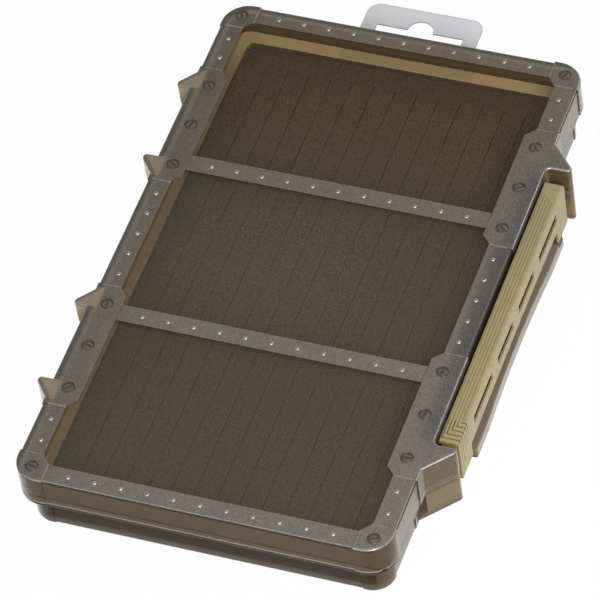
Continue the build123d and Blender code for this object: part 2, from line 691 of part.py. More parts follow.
def finger_grooves():
    """Nested grooves: along the top, across it near one end, and down the outer face."""
    half = GROOVE_WIDTH / 2
    floor_z = LATCH_TOP_Z - GROOVE_DEPTH
    floor_y = LATCH_FACE_Y + GROOVE_DEPTH
    edge_y, edge_z = LATCH_FACE_Y + LATCH_EDGE_R, LATCH_TOP_Z - LATCH_EDGE_R
    cuts = []
    for i in range(GROOVES):
        x = -LATCH_END + GROOVE_FROM_END + i * GROOVE_STEP_X
        y = LATCH_EDGE_Y - GROOVE_FROM_EDGE - i * GROOVE_STEP_Y
        low = GROOVE_LOW_Z + i * GROOVE_STEP_Z
        far = LATCH_END - GROOVE_FAR_END - i * GROOVE_STEP_X / 2
        cuts.append(block(x - half, far, y - half, y + half, floor_z, LATCH_TOP_Z + 1))
        cuts.append(block(x - half, x + half, LATCH_FACE_Y - 1, y + half, floor_z, LATCH_TOP_Z + 1))
        cuts.append(block(x - half, x + half, LATCH_FACE_Y - 1, floor_y, low, LATCH_TOP_Z + 1))
        outer = rod(LATCH_EDGE_R, x - half, x + half, edge_y, edge_z)
        inner = rod(LATCH_EDGE_R - GROOVE_DEPTH, x - half, x + half, edge_y, edge_z)
        cuts.append(outer - inner)
    return cuts


def latch_bead():
    """Bead below the top plate that drops into the catch ledge's groove."""
    y1 = LATCH_EDGE_Y - BEAD_FROM_EDGE
    z0, z1 = LATCH_UNDER_Z - BEAD_DEPTH, LATCH_TOP_Z - LATCH_TOP_T / 2
    return block(-CATCH_END, CATCH_END, y1 - BEAD_WIDTH, y1, z0, z1)


def pivot_bores():
    """Holes through the legs for the latch pins."""
    radius = LATCH_PIN_R + PIN_CLEARANCE
    return [rod(radius, side * LEG_INNER, side * LATCH_END, PIVOT_Y, PIVOT_Z) for side in SIGNS]


def make_latch():
    latch = latch_body()
    latch += latch_bead()
    latch -= finger_opening()
    latch -= face_openings()
    latch -= finger_grooves()
    latch -= pivot_bores()
    return latch


# ---------------------------------------------------------------- foam, adhesive and hang tab

def make_adhesive():
    length, width = FOAM_LENGTH - 2 * ADHESIVE_MARGIN, FOAM_WIDTH - 2 * ADHESIVE_MARGIN
    return slab(length, width, FOAM_CORNER_R, FLOOR_T, FLOOR_T + ADHESIVE_T)


def make_foam():
    bottom = FLOOR_T + ADHESIVE_T
    top = bottom + FOAM_T
    foam = slab(FOAM_LENGTH, FOAM_WIDTH, FOAM_CORNER_R, bottom, top)
    half = FOAM_LENGTH / 2 - SLIT_MARGIN
    for i in range(SLITS):
        y = (i - (SLITS - 1) / 2) * SLIT_PITCH
        foam -= block(-half, half, y - SLIT_WIDTH / 2, y + SLIT_WIDTH / 2, top - SLIT_DEPTH, top)
    return foam


def hang_slot():
    """Slot with a rounded arch, for a shop hook."""
    x0 = HALF_LENGTH + HANG_SLOT_FROM_END
    x1 = x0 + HANG_SLOT_WIDTH
    half = HANG_SLOT_LENGTH / 2
    slot = block(x0, x1, -half, half, 0, STRIP_Z)
    arch = Pos(x1, 0, STRIP_Z / 2) * Cylinder(HANG_ARCH_R, STRIP_Z)
    return slot + (arch & block(x0, LENGTH, -half, half, 0, STRIP_Z))


def make_hang_tab():
    top = BASE_HEIGHT + TAB_T
    foot_x = HALF_LENGTH - LID_WALL - TAB_FOOT_GAP
    end_x = HALF_LENGTH + TAB_REACH
    sheet = block(foot_x - TAB_FOOT_LENGTH, end_x, -TAB_WIDTH / 2, TAB_WIDTH / 2, BASE_HEIGHT, top)
    corners = sheet.edges().filter_by(Axis.Z).sort_by(Axis.X)[-2:]
    sheet = fillet(corners, TAB_CORNER_R)
    foot_half = TAB_FOOT_WIDTH / 2
    sheet += block(foot_x - TAB_FOOT_LENGTH, foot_x, -foot_half, foot_half, BASE_HEIGHT, top)
    return sheet - hang_slot()


# ---------------------------------------------------------------- write one file per piece

def main():
    os.makedirs("parts", exist_ok=True)
    nodes = {
        "lid": make_lid(),
        "base_tray": make_base(),
        "latch": make_latch(),
        "foam_insert": make_foam(),
        "foam_adhesive": make_adhesive(),
        "hang_tab": make_hang_tab(),
        "hinge_pin_near": hinge_pin(-1),
        "hinge_pin_far": hinge_pin(1),
        "latch_pin_near": latch_pin(-1),
        "latch_pin_far": latch_pin(1),
    }
    for name, shape in nodes.items():
        solids = shape.solids()
        piece = solids[0] if len(solids) == 1 else Compound(solids)
        export_step(piece, f"parts/{name}.step")
        print(name, len(solids), round(sum(s.volume for s in solids), 1))


main()
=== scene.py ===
"""A smoke-tinted fly box with its tan latch, clear hang tab and slit foam, in a plain studio."""

import logging
import math
from dataclasses import asdict, dataclass
from enum import Enum
from typing import Any, Callable, Sequence

import bpy
from mathutils import Matrix, Vector


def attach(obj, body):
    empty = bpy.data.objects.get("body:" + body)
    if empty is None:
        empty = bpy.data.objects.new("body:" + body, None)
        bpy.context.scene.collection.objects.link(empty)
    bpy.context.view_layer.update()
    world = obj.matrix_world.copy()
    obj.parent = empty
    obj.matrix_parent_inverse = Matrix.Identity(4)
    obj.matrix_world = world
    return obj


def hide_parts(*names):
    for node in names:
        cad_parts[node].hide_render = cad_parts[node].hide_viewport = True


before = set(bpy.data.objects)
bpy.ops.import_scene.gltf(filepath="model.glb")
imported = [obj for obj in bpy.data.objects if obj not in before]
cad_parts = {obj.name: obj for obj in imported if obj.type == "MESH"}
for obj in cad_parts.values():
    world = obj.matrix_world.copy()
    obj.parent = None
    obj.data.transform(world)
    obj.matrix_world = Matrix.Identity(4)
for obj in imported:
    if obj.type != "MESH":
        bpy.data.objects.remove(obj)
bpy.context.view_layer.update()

log = logging.getLogger("fly_box")

MM = 0.001
WHITE = (1.0, 1.0, 1.0, 1.0)

Span = tuple[float, float]
Place = tuple[float, float, float]
Tree = bpy.types.NodeTree
Node = bpy.types.Node
Socket = bpy.types.NodeSocket
# An output socket, or a node that stands for its first one.
Value = Node | Socket
Material = bpy.types.Material
Piece = bpy.types.Object
Mesh = bpy.types.Mesh
Edge = bpy.types.MeshEdge


class Body(Enum):
    """The rigid bodies that pieces ride on."""

    BASE = "base"
    LID = "lid"
    LATCH = "latch"


class Slot(Enum):
    """The material slots of the record."""

    SMOKE_PLASTIC = "smoke_plastic"
    TAN_PLASTIC = "tan_plastic"
    FOAM = "foam"
    ADHESIVE = "adhesive"
    CLEAR_SHEET = "clear_sheet"
    PIN_STEEL = "pin_steel"


class Axis(Enum):
    """The directions that a mesh is cut across."""

    X = (1.0, 0.0, 0.0)
    Y = (0.0, 1.0, 0.0)


class MeshPart(Enum):
    """What is picked in a mesh."""

    VERT = "vertices"
    EDGE = "edges"
    FACE = "polygons"


# --- Colours and nodes ---


def linear(colour: str) -> tuple[float, ...]:
    """Turns an sRGB hex colour into linear RGBA.

    Args:
        colour: six hex digits with # in front.

    Returns:
        Red, green, blue and alpha, each from 0 to 1.
    """
    parts = [int(colour[i : i + 2], 16) / 255 for i in (1, 3, 5)]
    turned = [c / 12.92 if c <= 0.04045 else ((c + 0.055) / 1.055) ** 2.4 for c in parts]
    return turned[0], turned[1], turned[2], 1.0


def pattern(place: Value, size: float, **others: float) -> dict[str, Any]:
    """Returns a texture's inputs, for features about size millimetres across."""
    return {"Vector": place, "Scale": 1.0 / (size * MM), **others}


def onto(value: Value, span: Span) -> dict[str, Any]:
    """Returns a Map Range's inputs that spread a value from 0 to 1 over a span."""
    return {"Value": value, "To Min": span[0], "To Max": span[1]}


def add_node(
    tree: Tree, kind: str, inputs: dict[str | int, Any] | None = None, **settings: Any
) -> Node:
    """Adds one node to a node tree.

    Args:
        tree: the node tree that takes it.
        kind: the node's type, without the "ShaderNode" in front.
        inputs: a plain value, a socket or a node for each input, by its name or number.
        **settings: properties of the node, such as its operation.

    Returns:
        The new node.
    """
    node = tree.nodes.new(f"ShaderNode{kind}")
    for name, value in settings.items():
        setattr(node, name, value)
    for name, value in (inputs or {}).items():
        if isinstance(value, Node):
            value = value.outputs[0]
        if isinstance(value, Socket):
            tree.links.new(value, node.inputs[name])
        else:
            node.inputs[name].default_value = value
    return node


def new_material(name: str) -> tuple[Material, Tree]:
    """Makes an empty node material.

    Args:
        name: the material's name.

    Returns:
        The material and its node tree.
    """
    material = bpy.data.materials.new(name)
    material.use_nodes = True
    material.node_tree.nodes.clear()
    return material, material.node_tree


def finished(material: Material, shader: Value) -> Material:
    """Gives a material its shader and returns it."""
    add_node(material.node_tree, "OutputMaterial", {"Surface": shader})
    return material


# --- Zones of a material ---


# Where a zone ends along one measure: the kind, inputs and settings of the node that tells.
Bound = tuple[str, dict[str | int, Any], dict[str, str]]


def above(measure: Value, limit: float, unit: float = MM) -> Bound:
    """Bounds a zone to where a measure is over a limit."""
    return "Math", {0: measure, 1: limit * unit}, {"operation": "GREATER_THAN"}


def below(measure: Value, limit: float, unit: float = MM) -> Bound:
    """Bounds a zone to where a measure is under a limit."""
    return "Math", {0: measure, 1: limit * unit}, {"operation": "LESS_THAN"}


def between(measure: Value, low: float, high: float, unit: float = MM) -> tuple[Bound, Bound]:
    """Bounds a zone to where a measure is over one limit and under another."""
    return above(measure, low, unit), below(measure, high, unit)


def fade(measure: Value, start: float, full: float) -> Bound:
    """Lets a zone set in smoothly from one place to another, in millimetres."""
    limits = {"Value": measure, "From Min": start * MM, "From Max": full * MM}
    return "MapRange", limits, {"interpolation_type": "SMOOTHSTEP"}


def zone_of(tree: Tree, *parts: Bound | Value) -> Value:
    """Marks where some bounds and other zones all overlap.

    Args:
        tree: the material's node tree.
        *parts: bounds, and zones that are there already.

    Returns:
        1 inside the zone and 0 outside.
    """
    zone = None
    for part in parts:
        if isinstance(part, tuple):
            kind, inputs, settings = part
            part = add_node(tree, kind, inputs, **settings)
        if zone is None:
            zone = part
        else:
            zone = add_node(tree, "Math", {0: zone, 1: part}, operation="MULTIPLY")
    return zone


def joined(tree: Tree, *zones: Sequence[Bound | Value]) -> Value:
    """Marks where at least one of some zones is.

    Args:
        tree: the material's node tree.
        *zones: the parts of each zone.

    Returns:
        1 inside any of them and 0 outside.
    """
    whole, *others = (zone_of(tree, *parts) for parts in zones)
    for zone in others:
        whole = add_node(tree, "Math", {0: whole, 1: zone}, operation="MAXIMUM")
    return whole


def layered(tree: Tree, first: Any, *layers: tuple[Bound | Value, Any]) -> Any:
    """Lays colours or numbers over each other.

    Args:
        tree: the node tree.
        first: what lies everywhere at first, a hex colour, a number or an earlier outcome.
        *layers: bounds or zones, each with what lies over it.

    Returns:
        What a node's input takes.
    """
    value = linear(first) if isinstance(first, str) else first
    for part, over in layers:
        zone = zone_of(tree, part)
        if isinstance(over, str):
            colours = {"Factor": zone, 6: value, 7: linear(over)}
            value = add_node(tree, "Mix", colours, data_type="RGBA").outputs[2]
        else:
            value = add_node(tree, "Mix", {"Factor": zone, "A": value, "B": over})
    return value


def size_of(tree: Tree, value: Value, middle: float = 0.0) -> Value:
    """Measures how far a value is from a middle in millimetres, to either side."""
    moved = add_node(tree, "Math", {0: value, 1: middle * MM}, operation="SUBTRACT")
    return add_node(tree, "Math", {0: moved}, operation="ABSOLUTE")


class Measures:
    """Where a point of the surface is and how it faces, as sockets.

    Attributes:
        point: object coordinates.
        x, y, z: the same, one by one.
        along, across: distance from the middle along X and along Y.
        level: 1 where the surface lies flat, 0 where it stands upright.
    """

    def __init__(self, tree: Tree) -> None:
        """Adds the nodes that measure."""
        coordinates = add_node(tree, "TexCoord")
        self.point = coordinates.outputs["Object"]
        axes = add_node(tree, "SeparateXYZ", {0: self.point})
        self.x, self.y, self.z = (axes.outputs[name] for name in "XYZ")
        self.along = size_of(tree, self.x)
        self.across = size_of(tree, self.y)
        facing = add_node(tree, "SeparateXYZ", {0: coordinates.outputs["Normal"]})
        self.level = size_of(tree, facing.outputs["Z"])


# --- Finishes ---


@dataclass(frozen=True)
class Skin:
    """How one zone of a see-through plastic looks.

    Attributes:
        scatter: colour of the light that is scattered back, sRGB hex.
        opacity: share of the light that is scattered at one surface.
        roughness: of the surface.
        speckle: how much the scattered light varies from grain to grain.
        shine: share of the light that is mirrored head on.
        tint: colour of the light that passes, sRGB hex.
    """

    scatter: str
    opacity: float
    roughness: float
    speckle: float = 0.0
    shine: float = 0.02
    tint: str = "#d8c8a6"


@dataclass
class ZonedPlastic:
    """Builds one see-through plastic whose zones differ in polish and texture.

    Attributes:
        name: the material's name.
        start: the skin that lies everywhere at first.
        edge_opacity: share of the light that is scattered where the surface is seen edge on.
        closing: how late the plastic closes up as the look gets more slanting.
        glancing: how late it starts to mirror nearly all the light.
        ior: index of refraction.
        cloud: size of the cloudy patches, in millimetres.
        cloud_shade: darkest and lightest shade of the patches.
        grain: size of the speckles, in millimetres.
    """

    name: str
    start: Skin
    edge_opacity: float = 0.92
    closing: float = 2.5
    glancing: float = 5.0
    ior: float = 1.42
    cloud: float = 24.0
    cloud_shade: Span = (0.93, 1.07)
    grain: float = 0.45

    def __post_init__(self) -> None:
        """Starts the material with its first skin everywhere."""
        self.material, self.tree = new_material(self.name)
        self.at = Measures(self.tree)
        self.values = asdict(self.start)

    def lay(self, skin: Skin, *parts: Bound | Value) -> None:
        """Lays another skin over a zone.

        Args:
            skin: how the zone looks.
            *parts: the bounds and zones that overlap there.
        """
        zone = zone_of(self.tree, *parts)
        for key, value in asdict(skin).items():
            self.values[key] = layered(self.tree, self.values[key], (zone, value))

    def close(self, normal: Value) -> Material:
        """Joins scattered, passing and mirrored light into the output.

        Args:
            normal: the bumped normal.

        Returns:
            The finished material.
        """
        tree, values = self.tree, self.values
        face = {"Roughness": values["roughness"], "Normal": normal}
        matter = {"Base Color": self.scattered(), "IOR": self.ior, **face}
        body = add_node(tree, "BsdfPrincipled", matter)
        gloss = add_node(tree, "BsdfGlossy", {"Color": WHITE, **face})
        clear = add_node(tree, "BsdfTransparent", {"Color": values["tint"]})
        inside = add_node(tree, "NewGeometry").outputs["Backfacing"]
        slant = add_node(tree, "LayerWeight", {"Blend": 0.5, "Normal": normal}).outputs["Facing"]
        grazing = add_node(tree, "Math", {0: slant, 1: self.glancing}, operation="POWER")
        # Only an outer face mirrors, and at a grazing angle it mirrors nearly all the light.
        mirrored, sheen = (
            add_node(tree, "Math", {0: share, 1: inside}, operation="SUBTRACT", use_clamp=True)
            for share in (values["shine"], grazing)
        )
        pane = add_node(tree, "MixShader", {0: mirrored, 1: clear, 2: gloss})
        # More plastic lies in the way of a slanting look, so a wall closes up at its edges.
        closed = add_node(tree, "Math", {0: slant, 1: self.closing}, operation="POWER")
        rest = {0: self.edge_opacity, 1: values["opacity"]}
        gap = add_node(tree, "Math", rest, operation="SUBTRACT")
        closing = {0: closed, 1: gap, 2: values["opacity"]}
        share = add_node(tree, "Math", closing, operation="MULTIPLY_ADD", use_clamp=True)
        mixed = add_node(tree, "MixShader", {0: share, 1: pane, 2: body})
        surface = add_node(tree, "MixShader", {0: sheen, 1: mixed, 2: gloss})
        return finished(self.material, surface)

    def scattered(self) -> Value:
        """Returns the colour of the scattered light with its clouds and speckles."""
        tree, point = self.tree, self.at.point
        # Flow in the mould leaves faint cloudy patches, a few centimetres across.
        cloud = add_node(tree, "TexNoise", pattern(point, self.cloud, Detail=2.0))
        shade = add_node(tree, "MapRange", onto(cloud, self.cloud_shade))
        # The eroded texture sparkles from pit to pit; 0.05 mm is drawn at 0.45 mm.
        pits = add_node(tree, "TexNoise", pattern(point, self.grain, Detail=2.0))
        spark = add_node(tree, "Math", {0: pits, 1: 0.5}, operation="SUBTRACT")
        speckled = add_node(
            tree, "Math", {0: spark, 1: self.values["speckle"], 2: shade}, operation="MULTIPLY_ADD"
        )
        shaded = {"Color": self.values["scatter"], "Value": speckled}
        return add_node(tree, "HueSaturation", shaded)


@dataclass(frozen=True)
class BasePlastic:
    """Smoke-tinted polypropylene, injection moulded in a polished mould.

    Light passes through it with a warm brown tint, and a little is scattered back, so a
    thin wall is see-through and a thick edge looks tan. Sizes in millimetres.
    """

    name: str = "smoke_polypropylene_polished"
    wall: Skin = Skin("#463c2d", 0.16, 0.2, tint="#e2d6b8")
    end_wall: Skin = Skin("#4a3f2c", 0.16, 0.2, 0.0, 0.0, tint="#9c8453")
    foot: Skin = Skin("#5d584a", 0.35, 0.25, tint="#e2d6b8")
    ear: Skin = Skin("#6b5c46", 0.65, 0.25)
    ear_core: Skin = Skin("#86714f", 0.65, 0.25)
    ear_foot: Skin = Skin("#5d5a4e", 0.75, 0.25)
    shelf: Skin = Skin("#8d7b6b", 0.75, 0.3, 0.8)
    rim: Skin = Skin("#a8977a", 0.8, 0.3)
    end_rim: Skin = Skin("#dccfb2", 0.95, 0.3)
    flange: Skin = Skin("#4a3f2c", 0.3, 0.25, 0.0, 0.0, tint="#a89068")
    lip: Skin = Skin("#9a8b77", 0.75, 0.25)
    low_lip: Skin = Skin("#665a48", 0.6, 0.3, 0.0, 0.0, tint="#b09a70")
    end_wall_x: float = 98.6
    foot_z: Span = (4.8, 2.4)
    ear_from_y: float = 62.1
    rim_x: float = 100.6
    rim_y: float = 60.0
    rim_z: float = 14.95
    end_rim_x: Span = (80.0, 97.0)
    shelf_z: float = 5.9
    ear_low_z: Span = (3.2, 5.5)
    ear_high_z: Span = (13.5, 11.5)
    ear_foot_z: Span = (3.7, 3.2)
    flange_low_z: Span = (13.55, 13.8)
    flange_high_z: Span = (14.65, 14.97)
    upright: float = 0.1
    flat: float = 0.9
    ripple: float = 1.8
    ripple_depth: float = 0.05

    def material(self) -> Material:
        """Returns the node material with its zones."""
        plastic = ZonedPlastic(self.name, self.wall)
        tree, at = plastic.tree, plastic.at
        # Painted shade: past the end walls the foam's bed keeps the light out, so a darker tint and
        # no shine are set there.
        plastic.lay(self.end_wall, above(at.along, self.end_wall_x))
        # Painted light: the thick lower edge is coloured lighter for the light it gathers from
        # whatever the box stands on.
        plastic.lay(self.foot, fade(at.z, *self.foot_z))
        # Painted glow: the rim's top, seen through the windows, is coloured light tan for the light
        # that comes in through the walls, lightest toward the far end.
        rim = zone_of(
            tree, above(at.z, self.rim_z), below(at.along, self.rim_x), below(at.across, self.rim_y)
        )
        plastic.lay(self.rim, rim)
        plastic.lay(self.end_rim, rim, fade(at.x, *self.end_rim_x))
        ear = above(at.across, self.ear_from_y)
        plastic.lay(self.ear, ear)
        # A painted glow lightens the middle of an ear's hollow, and its thick lower edge is painted
        # dark.
        plastic.lay(self.ear_core, ear, fade(at.z, *self.ear_low_z), fade(at.z, *self.ear_high_z))
        plastic.lay(self.ear_foot, ear, fade(at.z, *self.ear_foot_z))
        low_front = below(at.y, -self.ear_from_y), below(at.z, self.shelf_z)
        plastic.lay(self.shelf, *low_front, above(at.level, self.flat, unit=1.0))
        self.lay_flange(plastic)
        # The polished walls are a little wavy, as sunk in while they cooled.
        ripples = add_node(tree, "TexNoise", pattern(at.point, self.ripple, Detail=2.0))
        height = {"Height": ripples, "Strength": 0.15, "Distance": self.ripple_depth * MM}
        return plastic.close(add_node(tree, "Bump", height))

    def lay_flange(self, plastic: ZonedPlastic) -> None:
        """Lays the dark face of the flange, and painted highlights along its two edges.

        Args:
            plastic: the material.
        """
        tree, at = plastic.tree, plastic.at
        sides = between(at.across, self.rim_y, self.ear_from_y)
        outside = joined(tree, [above(at.along, self.rim_x)], sides)
        (bottom, low), (high, top) = self.flange_low_z, self.flange_high_z
        upright = below(at.level, self.upright, unit=1.0)
        plastic.lay(self.flange, outside, *between(at.z, low, high), upright)
        # Painted highlights along the flange's lower and upper edges.
        plastic.lay(self.low_lip, outside, *between(at.z, bottom, low))
        all_round = joined(tree, [outside], [above(at.across, self.ear_from_y)])
        plastic.lay(self.lip, all_round, *between(at.z, high, top))


@dataclass(frozen=True)
class LidPlastic:
    """The lid's smoke polypropylene: clear windows in a frame with a spark-eroded texture.

    The eroded mould leaves the flat tops of the frame matt, so they scatter pale grey
    light, while the polished windows, walls, rivets and rounded edges stay see-through and
    catch sharp highlights. Painted highlights also line the rounded edges, and painted shade
    and glow vary across the frame. Sizes in millimetres.
    """

    name: str = "smoke_polypropylene_frosted_frame"
    wall: Skin = Skin("#5a4d36", 0.16, 0.2, tint="#e2d6b8")
    inner_wall: Skin = Skin("#5e4d33", 0.55, 0.35, tint="#cdbb92")
    gap_wall: Skin = Skin("#262019", 0.75, 0.3, 0.0, 0.0, tint="#9a8460")
    ear: Skin = Skin("#6a5940", 0.65, 0.25)
    hinge_ear: Skin = Skin("#c4b18c", 0.6, 0.25, tint="#e6dcc4")
    hinge_ear_edge: Skin = Skin("#6b655b", 0.84, 0.3, 0.8)
    hinge_ear_lip: Skin = Skin("#8f877c", 0.75, 0.35)
    hinge_ear_top: Skin = Skin("#8d806b", 0.84, 0.3, 0.8)
    window: Skin = Skin("#666963", 0.1, 0.12, tint="#f7f1e6")
    far_window: Skin = Skin("#6c6a64", 0.02, 0.12, 0.0, 0.01, tint="#f7f1e6")
    rivet: Skin = Skin("#4e4840", 0.7, 0.35, 0.0, 0.7)
    head: Skin = Skin("#5c5449", 0.75, 0.25, 0.6, 0.25)
    frost: Skin = Skin("#736d66", 0.84, 0.45, 1.4)
    far_frost: Skin = Skin("#6f6558", 0.84, 0.45, 1.4)
    hinge_frost: Skin = Skin("#6a635b", 0.84, 0.45, 1.4)
    far_hinge_frost: Skin = Skin("#61594f", 0.84, 0.45, 1.4)
    shade: Skin = Skin("#5b5a59", 0.84, 0.42, 2.0)
    deep_shade: Skin = Skin("#545350", 0.84, 0.42, 1.4)
    glow: Skin = Skin("#756b5d", 0.84, 0.4, 1.2)
    brim: Skin = Skin("#55524a", 0.84, 0.4, 1.2)
    lip: Skin = Skin("#8c8b8c", 0.75, 0.35, 1.5)
    latch_lip: Skin = Skin("#5f5e5f", 0.75, 0.45, 1.5)
    low_lip: Skin = Skin("#938776", 0.75, 0.3)
    groove: Skin = Skin("#4b443a", 0.8, 0.3, 0.0, 0.2, tint="#8a7a5c")
    window_half_x: float = 95.3
    window_half_y: float = 53.9
    bar_x: float = 32.4
    bar_half: float = 3.45
    ceiling_z: float = 23.0
    window_top_z: float = 25.3
    frost_z: float = 25.47
    shade_y: Span = (-54.5, -60.0)
    shade_x: Span = (64.0, 50.0)
    deep_shade_x: float = 22.7
    hinge_y: Span = (45.0, 55.0)
    far_x: Span = (-20.0, 90.0)
    far_window_x: Span = (5.0, 75.0)
    hinge_ear_x: Span = (15.3, 23.4)
    hinge_ear_from_y: float = 62.4
    hinge_ear_root: Span = (58.6, 59.4)
    hinge_ear_top_z: float = 25.2
    hinge_ear_slope: float = 0.86
    hinge_ear_band: Span = (79.0, 80.4)
    hinge_ear_band_y: float = 60.1
    gap_x: float = 57.0
    gap_fade_x: Span = (57.0, 54.5)
    gap_fade_z: Span = (18.5, 20.5)
    gap_top_z: float = 25.0
    plate_x: float = 47.8
    plate_half: float = 24.7
    plate_end: float = 25.15
    plate_from_y: float = 51.2
    screws_from_y: float = 51.6
    corner_plate_x: Span = (92.15, 92.5)
    corner_plate_y: Span = (51.05, 51.4)
    inner_x: Span = (99.5, 101.2)
    inner_y: Span = (59.2, 60.8)
    inner_z: float = 24.9
    edge_x: float = 100.9
    edge_y: float = 60.3
    slot_z: float = 25.65
    ear_from_y: float = 62.1
    side_z: float = 22.8
    corner_x: float = 92.4
    corner_y: float = 51.8
    glow_reach: Span = (5.8, 7.3)
    brim_reach: Span = (7.6, 8.8)
    flat: float = 0.985
    steep: float = 0.8
    edge_z: float = 24.6
    low_edge_z: float = 15.45
    ear_edge_z: float = 15.75
    outer_x: float = 101.3
    outer_y: float = 60.7
    grain: float = 0.4
    grain_depth: float = 0.06

    def material(self) -> Material:
        """Returns the node material with its zones."""
        plastic = ZonedPlastic(self.name, self.wall)
        tree, at = plastic.tree, plastic.at
        from_plate = size_of(tree, at.along, self.plate_x)
        self.lay_walls(plastic)
        frost = self.lay_frame(plastic)
        self.lay_hinge_ears(plastic, from_plate)
        self.lay_screws(plastic, from_plate)
        self.lay_edges(plastic, from_plate)
        # Spark erosion leaves pits of about 0.05 mm, drawn at 0.4 mm so that they show.
        pits = add_node(tree, "TexNoise", pattern(at.point, self.grain, Detail=3.0))
        height = add_node(tree, "Math", {0: pits, 1: frost}, operation="MULTIPLY")
        depth = {"Height": height, "Strength": 0.6, "Distance": self.grain_depth * MM}
        return plastic.close(add_node(tree, "Bump", depth))

    def lay_walls(self, plastic: ZonedPlastic) -> None:
        """Lays the latch ears, the windows and the inner sides of the walls.

        Args:
            plastic: the material.
        """
        tree, at = plastic.tree, plastic.at
        plastic.lay(self.ear, below(at.y, -self.ear_from_y))
        pane = zone_of(
            tree,
            below(at.along, self.window_half_x),
            below(at.across, self.window_half_y),
            above(size_of(tree, at.along, self.bar_x), self.bar_half),
            *between(at.z, self.ceiling_z, self.window_top_z),
        )
        plastic.lay(self.window, pane)
        # Painted shade: toward the far end the windows lose most of their haze and gloss, so they
        # look darker.
        plastic.lay(self.far_window, pane, fade(at.x, *self.far_window_x))
        inside = joined(tree, between(at.x, *self.inner_x), between(at.y, *self.inner_y))
        plastic.lay(self.inner_wall, inside, below(at.z, self.inner_z))
        # Behind the closed latch the wall faces a narrow slot; painted shade darkens it nearly to
        # black.
        behind = below(at.y, -self.edge_y), below(at.z, self.gap_top_z)
        fades = fade(at.along, *self.gap_fade_x), fade(at.z, *self.gap_fade_z)
        plastic.lay(self.gap_wall, *behind, *fades)

    def lay_frame(self, plastic: ZonedPlastic) -> Value:
        """Lays the textured frame and its polished rivets, with painted shade and glow over the
        frame.

        Args:
            plastic: the material.

        Returns:
            1 where the surface is textured and 0 elsewhere.
        """
        tree, at = plastic.tree, plastic.at
        raised = above(at.z, self.frost_z)
        plastic.lay(self.rivet, raised)
        frost = zone_of(tree, raised, above(at.level, self.flat, unit=1.0))
        plastic.lay(self.frost, frost)
        # Painted shade darkens the frame toward the far end and over the hinges, where less light
        # comes up from the base.
        far = zone_of(tree, frost, fade(at.x, *self.far_x))
        plastic.lay(self.far_frost, far)
        over_hinges = fade(at.y, *self.hinge_y)
        plastic.lay(self.hinge_frost, frost, over_hinges)
        plastic.lay(self.far_hinge_frost, far, over_hinges)
        # Beside the latch there is only air under the frame, so painted shade makes it darker and
        # cooler.
        beside = zone_of(tree, frost, fade(at.y, *self.shade_y), fade(at.along, *self.shade_x))
        plastic.lay(self.shade, beside)
        plastic.lay(self.deep_shade, beside, below(at.along, self.deep_shade_x))
        # Along the hinge side and the far end, a painted glow stands for the wall below shining
        # through the frame, with a darker brim outside it.
        reach = self.corner_reach(plastic)
        plastic.lay(self.glow, frost, fade(reach, *self.glow_reach))
        plastic.lay(self.brim, fade(reach, *self.brim_reach), above(at.z, self.side_z))
        return frost

    def corner_reach(self, plastic: ZonedPlastic) -> Value:
        """Measures how far a point lies past the frame's inner corner by the far hinge.

        Args:
            plastic: the material.

        Returns:
            The distance.
        """
        tree = plastic.tree
        corner = (self.corner_x * MM, self.corner_y * MM, 0.0)
        moved = add_node(tree, "VectorMath", {0: plastic.at.point, 1: corner}, operation="SUBTRACT")
        beyond = add_node(tree, "VectorMath", {0: moved}, operation="MAXIMUM")
        flatly = add_node(tree, "VectorMath", {0: beyond, 1: (1.0, 1.0, 0.0)}, operation="MULTIPLY")
        reach = add_node(tree, "VectorMath", {0: flatly}, operation="LENGTH")
        return reach.outputs["Value"]

    def lay_hinge_ears(self, plastic: ZonedPlastic, from_plate: Value) -> None:
        """Lays the ears beside the hinges, whose tops run into the plates, with a painted glow and
        painted highlights.

        Args:
            plastic: the material.
            from_plate: distance from the nearest plate's middle, along X.
        """
        tree, at = plastic.tree, plastic.at
        beside_hinge = zone_of(tree, *between(from_plate, *self.hinge_ear_x))
        # A painted glow lightens the hinge ears.
        plastic.lay(self.hinge_ear, above(at.y, self.hinge_ear_from_y))
        root = fade(at.y, *self.hinge_ear_root), above(at.z, self.hinge_ear_top_z)
        plastic.lay(self.hinge_ear_top, beside_hinge, *root)
        # Painted highlights along the rounded top edges of the ears.
        rounded = above(at.z, self.edge_z), below(at.level, self.flat, unit=1.0)
        plastic.lay(self.hinge_ear_lip, above(at.y, self.ear_from_y), *rounded)
        # The dark band follows the slanting side of each ear.
        slope = {0: from_plate, 1: self.hinge_ear_slope, 2: at.y}
        slanted = add_node(tree, "Math", slope, operation="MULTIPLY_ADD")
        band = fade(slanted, *self.hinge_ear_band), above(at.y, self.hinge_ear_band_y)
        plastic.lay(self.hinge_ear_edge, beside_hinge, *band, above(at.z, self.edge_z))

    def lay_screws(self, plastic: ZonedPlastic, from_plate: Value) -> None:
        """Lays the screw heads, and painted shade in the polished rings and slots round them.

        Args:
            plastic: the material.
            from_plate: distance from the nearest plate's middle, along X.
        """
        tree, at = plastic.tree, plastic.at
        inward = between(at.across, self.screws_from_y, self.edge_y)
        plates = joined(
            tree,
            [below(from_plate, self.plate_half), *inward],
            [*between(at.along, self.corner_plate_x[1], self.edge_x), *inward],
        )
        domed = below(at.level, self.flat, unit=1.0)
        plastic.lay(self.head, plates, above(at.z, self.slot_z), domed)
        plastic.lay(self.groove, plates, *between(at.z, self.window_top_z, self.slot_z))

    def lay_edges(self, plastic: ZonedPlastic, from_plate: Value) -> None:
        """Lays painted highlights, the light lines where the plastic's edges are rounded.

        Args:
            plastic: the material.
            from_plate: distance from the nearest plate's middle, along X.
        """
        tree, at = plastic.tree, plastic.at
